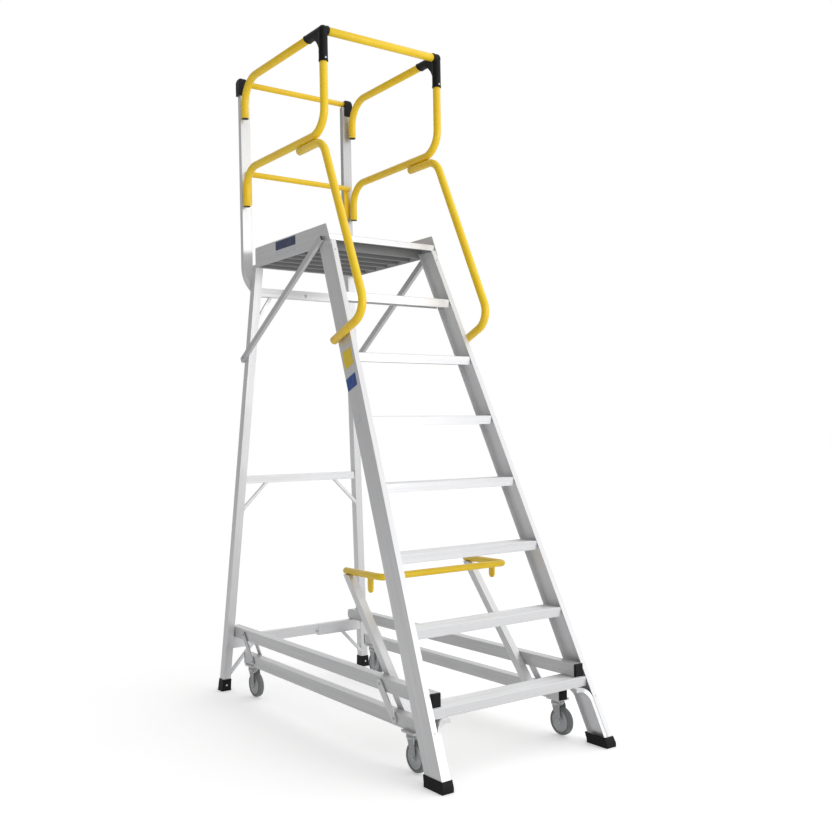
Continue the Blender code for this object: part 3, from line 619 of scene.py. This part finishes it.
def build_foot_bar():
    x = 0.3413
    z = 0.7415
    path = filleted([at(-x, 0.862, z), at(-x, 0.574, z), at(x, 0.574, z), at(x, 0.862, z)], [0.020, 0.020])
    lugs = Shape()
    for side in (-1, 1):
        outline = [(0.643, z - 0.012), (0.679, z - 0.012)]
        for i in range(13):
            t = math.radians(-180 * i / 12)
            outline.append((0.661 + 0.018 * math.cos(t), z - 0.058 + 0.018 * math.sin(t)))
        points = [at(side * (x - 0.004), y, height) for y, height in outline]
        lugs.prism(points, (side * 0.008, 0, 0))
    tube("foot_bar_tube", path, FOOT_BAR_R, "lever", "foot_bar", extra=lugs)
    ends = Shape()
    for side in (-1, 1):
        plug(ends, at(side * x, 0.862, z), (0, 1, 0), FOOT_BAR_R)
    ends.piece("foot_bar_plugs", BLACK, "lever", "foot_bar")


# Castors


def build_wheel(tag, end):
    node = "castor_wheel_%s_%s" % (end, tag)
    low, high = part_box(node)
    centre = (low + high) / 2
    outer = (high.z - low.z) / 2
    body = body_of(node)
    half = [(0.0136, 0.0462), (0.0146, 0.0480), (0.0150, 0.0530), (0.0147, 0.0565)]
    for i in range(1, 7):
        t = math.radians(15 * i)
        half.append((0.0147 * math.cos(t), 0.0565 + (outer - 0.0565) * math.sin(t)))
    section = half[:-1] + [(0.0, outer)] + [(-u, r) for u, r in reversed(half[:-1])]
    section += [(-0.0100, 0.0448), (0.0100, 0.0448)]
    tyre = Shape().lathe(centre, (1, 0, 0), section, 72, closed=True)
    tyre.piece("tyre_%s_%s" % (end, tag), TYRE, body, node)
    half = [(0.0165, 0.0066), (0.0165, 0.0118), (0.0158, 0.0128), (0.0105, 0.0142), (0.0088, 0.0165)]
    half += [(0.0084, 0.0200), (0.0090, 0.0215), (0.0090, 0.0230), (0.0082, 0.0245), (0.0082, 0.0385)]
    half += [(0.0092, 0.0405), (0.0125, 0.0430), (0.0134, 0.0440), (0.0134, 0.0463), (0.0100, 0.0463)]
    section = half + [(-u, r) for u, r in reversed(half)]
    hub = Shape().lathe(centre, (1, 0, 0), section, 72, closed=True)
    hub.piece("hub_%s_%s" % (end, tag), HUB, body, node, (node,))
    nuts = Shape()
    fork = "castor_fork_%s_%s" % (end, tag)
    for face in (-1, 1):
        spot = centre + Vector((face * 0.0209, 0, 0))
        washer = [(0, 0.0115), (0.0012, 0.0115), (0.0016, 0.0108), (0.0016, 0.0)]
        nuts.lathe(spot, (face, 0, 0), washer, 32)
        head = [(0.0012, 0.0088), (0.0046, 0.0088), (0.0054, 0.0077), (0.0054, 0.0)]
        nuts.lathe(spot, (face, 0, 0), head, 6)
    nuts.piece("axle_nuts_%s_%s" % (end, tag), ZINC, body_of(fork), fork)


def build_race(tag, end):
    """Ball race between the castor plate and the fork crown."""
    fork = "castor_fork_%s_%s" % (end, tag)
    low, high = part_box(fork)
    x = (low.x + high.x) / 2
    centre = at(x, PLATE_Y[end], 0.1360)
    profile = [(0.0, 0.0270), (0.0040, 0.0288), (0.0085, 0.0292), (0.0100, 0.0282), (0.0104, 0.0262)]
    profile += [(0.0120, 0.0258), (0.0120, 0.0)]
    race = Shape().lathe(centre, (0, 0, 1), profile, 64)
    race.piece("race_%s_%s" % (end, tag), ZINC, body_of(fork), fork)


# Lower rails' end caps, fixings, labels and welds


def build_rail_caps():
    for side, tag in SIDES:
        node = "lower_rail_" + tag
        caps = Shape()
        for y, outward in ((0.245, -1), (1.800, 1)):
            x = side * rail_x(y)
            rings = []
            steps = ((-0.004, 0.003), (0.0002, 0.003), (0.0002, 0.0), (0.006, 0.0), (0.008, 0.002))
            for depth, inset in steps:
                w = RAIL_HALF - inset
                h = 0.0275 - inset
                corners = [(-w, -h), (w, -h), (w, h), (-w, h)]
                rings.append([at(x + u, y + outward * depth, RAIL_LOW_Z + v) for u, v in corners])
            caps.rings(rings)
        caps.piece("lower_rail_caps_" + tag, BLACK, body_of(node), node, bevel=0.0010)


def build_welds():
    """Beads along each lower rail, where it stands on its castor plates."""
    generator = random.Random(7)
    for side, tag in SIDES:
        node = "lower_rail_" + tag
        plate_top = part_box(node)[0].z + PLATE_THICK
        beads = Shape()
        # The front plates are set outward, so only their outer edge shows beside the rail.
        for end, edge in (("front", 1), ("rear", -1), ("rear", 1)):
            ends = []
            for y in (PLATE_Y[end] - WELD_HALF, PLATE_Y[end] + WELD_HALF):
                x = side * (rail_x(y) + edge * (RAIL_HALF + 0.0008))
                ends.append(at(x, y, plate_top + 0.0006))
            weld(beads, ends[0], ends[1], 0.0028, generator)
        beads.piece("castor_plate_welds_" + tag, WELD, body_of(node), node)


def on_stile_front(side, inset, z):
    """A point on a stile's front flange and the flange's outward direction."""
    normal = Vector((0.0, -1.0, STILE_SLOPE)).normalized()
    return at(side * (side_x(z) - inset), stile_y(z), z), normal


def on_stile_side(side, z, across):
    """A point on a stile's outer web, at a distance behind the front flange, and its outward direction."""
    normal = Vector((side, 0.0, SIDE_LEAN)).normalized()
    rise = Vector((0.0, STILE_SLOPE, 1.0)).normalized()
    depth = Vector((0.0, rise.z, -rise.y))
    point = at(0.0, stile_y(z), z) + depth * across
    point.x = side * side_x(point.z)
    return point, normal


def build_fixings():
    rivets = Shape()
    bolts = Shape()
    for side, tag in SIDES:
        point, normal = on_stile_front(side, 0.0133, 0.205)
        rivet(rivets, point, normal, 0.0040, 0.0018)
        point, normal = on_stile_front(side, 0.0133, 2.205)
        rivet(rivets, point, normal, 0.0040, 0.0018)
        leg = leg_y(2.247)
        rivet(rivets, at(side * (side_x(2.236) - 0.020), leg, 2.236), (0, -1, 0), 0.0048, 0.002)
        for y in (1.10, 1.42, 1.70):
            rivet(rivets, at(side * 0.3075, y, 2.262), (side, 0, 0), 0.0042, 0.0018)
        rivet(rivets, at(side * 0.325, GUARD_FRONT - 0.0218, 3.079), (0, -1, 0), 0.0050, 0.0022)
        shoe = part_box("rear_shoe_" + tag)
        middle = (shoe[0].x + shoe[1].x) / 2
        rivet(rivets, Vector((middle, shoe[0].y + 0.0008, 0.030)), (0, -1, 0), 0.0056, 0.0022)
    rivets.piece("frame_rivets", ZINC, "frame", "platform_deck")
    front = leg_y(2.108) + 0.006
    bolt(bolts, at(0.0, front, 2.1040), (0, -1, 0))
    for x, z in ((-0.141, 0.247), (0.117, 0.252)):
        bolt(bolts, at(x, leg_y(0.26) + 0.003, z), (0, -1, 0))
    for side, tag in SIDES:
        bolt(bolts, at(side * 0.3552, 1.842, 1.764), (side, 0, -0.0565), 0.0062)
    bolts.piece("frame_bolts", ZINC, "frame", "cross_bar_top")


def rounded_label(shape, centre, right, up, width, height, corner, lift):
    """A thin rounded rectangle raised off its surface."""
    right = Vector(right).normalized()
    up = Vector(up).normalized()
    outward = right.cross(up)
    outline = []
    for start, cx, cy in ((0, 1, 1), (90, -1, 1), (180, -1, -1), (270, 1, -1)):
        for i in range(5):
            t = math.radians(start + 22.5 * i)
            x = cx * (width / 2 - corner) + corner * math.cos(t)
            y = cy * (height / 2 - corner) + corner * math.sin(t)
            outline.append(centre + right * x + up * y)
    base = [p + outward * lift for p in outline]
    shape.prism(base, outward * 0.0003)


def build_labels():
    rise = Vector((SIDE_LEAN, STILE_SLOPE, 1.0)).normalized()
    normal = on_stile_side(-1, 1.607, 0.0)[1]
    right = rise.cross(normal).normalized()
    labels = (
        ("label_yellow", (0.86, 0.62, 0.015), 1.712, 0.054, 0.070, 0.084, 0.0003),
        ("label_blue", (0.010, 0.060, 0.30), 1.607, 0.062, 0.078, 0.060, 0.0003),
        ("label_pale", (0.62, 0.63, 0.65), 1.447, 0.066, 0.030, 0.045, 0.0003),
    )
    for name, colour, z, across, width, height, lift in labels:
        point = on_stile_side(-1, z, across)[0]
        shape = Shape()
        rounded_label(shape, point, right, rise, width, height, 0.004, lift)
        shape.piece(name, printed(name + "_vinyl", colour), "frame", "front_stile_L")
    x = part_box("toe_board_L")[0].x
    plate = Shape()
    rounded_label(plate, Vector((x, 1.4325 + Y0, 2.306)), (0, -1, 0), (0, 0, 1), 0.205, 0.044, 0.003, 0.00005)
    plate.piece("name_plate_blank", printed("navy_vinyl", (0.020, 0.035, 0.105)), "frame", "toe_board_L")
    strip = Shape()
    rounded_label(strip, Vector((x, 1.4325 + Y0, 2.268)), (0, -1, 0), (0, 0, 1), 0.205, 0.026, 0.003, 0.00005)
    strip.piece("name_plate_strip", printed("pale_vinyl", (0.60, 0.61, 0.63)), "frame", "toe_board_L")


# Studio


def build_stage():
    radius = 60.0
    turns = [2 * math.pi * i / 96 for i in range(96)]
    rim = [(radius * math.cos(t), radius * math.sin(t), -0.0002) for t in turns]
    mesh = bpy.data.meshes.new("floor")
    mesh.from_pydata(rim, [], [list(range(len(rim)))])
    material, tree, shader = new_material("pale_floor")
    cloud = noise(tree, 0.5, 3.0)
    paper = blend_colours(tree, cloud, (0.91, 0.91, 0.91), (0.94, 0.94, 0.94))
    path = tree.nodes.new("ShaderNodeLightPath")
    colour = blend_colours(tree, path.outputs["Is Camera Ray"], (0.50, 0.50, 0.50), paper)
    shader.inputs["Emission Color"].default_value = (1.0, 1.0, 1.0, 1.0)
    shader.inputs["Emission Strength"].default_value = 0.28
    tree.links.new(colour, shader.inputs["Base Color"])
    shader.inputs["Roughness"].default_value = 0.85
    shader.inputs["Specular IOR Level"].default_value = 0.1
    mesh.materials.append(material)
    obj = bpy.data.objects.new("floor", mesh)
    bpy.context.scene.collection.objects.link(obj)


def build_world():
    """White studio: bright in front, dimmer on the ladder's left, even pale to the eye."""
    world = bpy.data.worlds.new("studio")
    bpy.context.scene.world = world
    world.use_nodes = True
    tree = world.node_tree
    background = tree.nodes["Background"]
    coords = tree.nodes.new("ShaderNodeTexCoord")
    axes = tree.nodes.new("ShaderNodeSeparateXYZ")
    tree.links.new(coords.outputs["Generated"], axes.inputs["Vector"])
    sideways = spread(tree, axes.outputs["X"], -0.9, 0.5, 0.20, 1.0)
    ahead = spread(tree, axes.outputs["Y"], -0.8, 0.5, 1.12, 0.90)
    overhead = spread(tree, axes.outputs["Z"], 0.0, 1.0, 1.0, 1.25)
    level = tree.nodes.new("ShaderNodeMath")
    level.operation = "MULTIPLY"
    tree.links.new(sideways, level.inputs[0])
    tree.links.new(ahead, level.inputs[1])
    both = tree.nodes.new("ShaderNodeMath")
    both.operation = "MULTIPLY"
    tree.links.new(level.outputs[0], both.inputs[0])
    tree.links.new(overhead, both.inputs[1])
    path = tree.nodes.new("ShaderNodeLightPath")
    choose = tree.nodes.new("ShaderNodeMix")
    choose.data_type = "FLOAT"
    tree.links.new(path.outputs["Is Camera Ray"], choose.inputs[0])
    tree.links.new(both.outputs[0], choose.inputs[2])
    choose.inputs[3].default_value = 1.0
    tree.links.new(choose.outputs[0], background.inputs["Strength"])
    background.inputs["Color"].default_value = (1.0, 1.0, 1.0, 1.0)


def area_light(name, place, target, size, power):
    data = bpy.data.lights.new(name, "AREA")
    data.shape = "RECTANGLE"
    data.size, data.size_y = size
    data.energy = power
    light = bpy.data.objects.new(name, data)
    bpy.context.scene.collection.objects.link(light)
    light.location = place
    light.rotation_euler = (Vector(target) - Vector(place)).to_track_quat("-Z", "Y").to_euler()


def build_lights():
    area_light("key", (1.6, -6.5, 2.4), (0.0, 0.0, 1.3), (4.0, 3.0), 110.0)


def build_camera():
    data = bpy.data.cameras.new("camera")
    data.sensor_width = 36.0
    data.lens = 43.014
    data.shift_x = 0.00611
    data.shift_y = 0.03196
    yaw = 0.6186
    pitch = -0.0093
    roll = -0.0181
    forward = Vector((math.sin(yaw) * math.cos(pitch), math.cos(yaw) * math.cos(pitch), math.sin(pitch)))
    level = Vector((math.cos(yaw), -math.sin(yaw), 0.0))
    upright = level.cross(forward)
    right = math.cos(roll) * level + math.sin(roll) * upright
    up = -math.sin(roll) * level + math.cos(roll) * upright
    camera = bpy.data.objects.new("camera", data)
    bpy.context.scene.collection.objects.link(camera)
    turn = Matrix((right, up, -forward)).transposed().to_4x4()
    camera.matrix_world = Matrix.Translation((-2.6795, -3.9421, 1.3514)) @ turn
    bpy.context.scene.camera = camera


dress_frame()
build_guard()
build_foot_bar()
for _, tag in SIDES:
    for end in PLATE_Y:
        build_wheel(tag, end)
        build_race(tag, end)
build_rail_caps()
build_welds()
build_fixings()
build_labels()
build_stage()
build_world()
build_lights()
build_camera()
bpy.context.scene.view_settings.view_transform = "Standard"
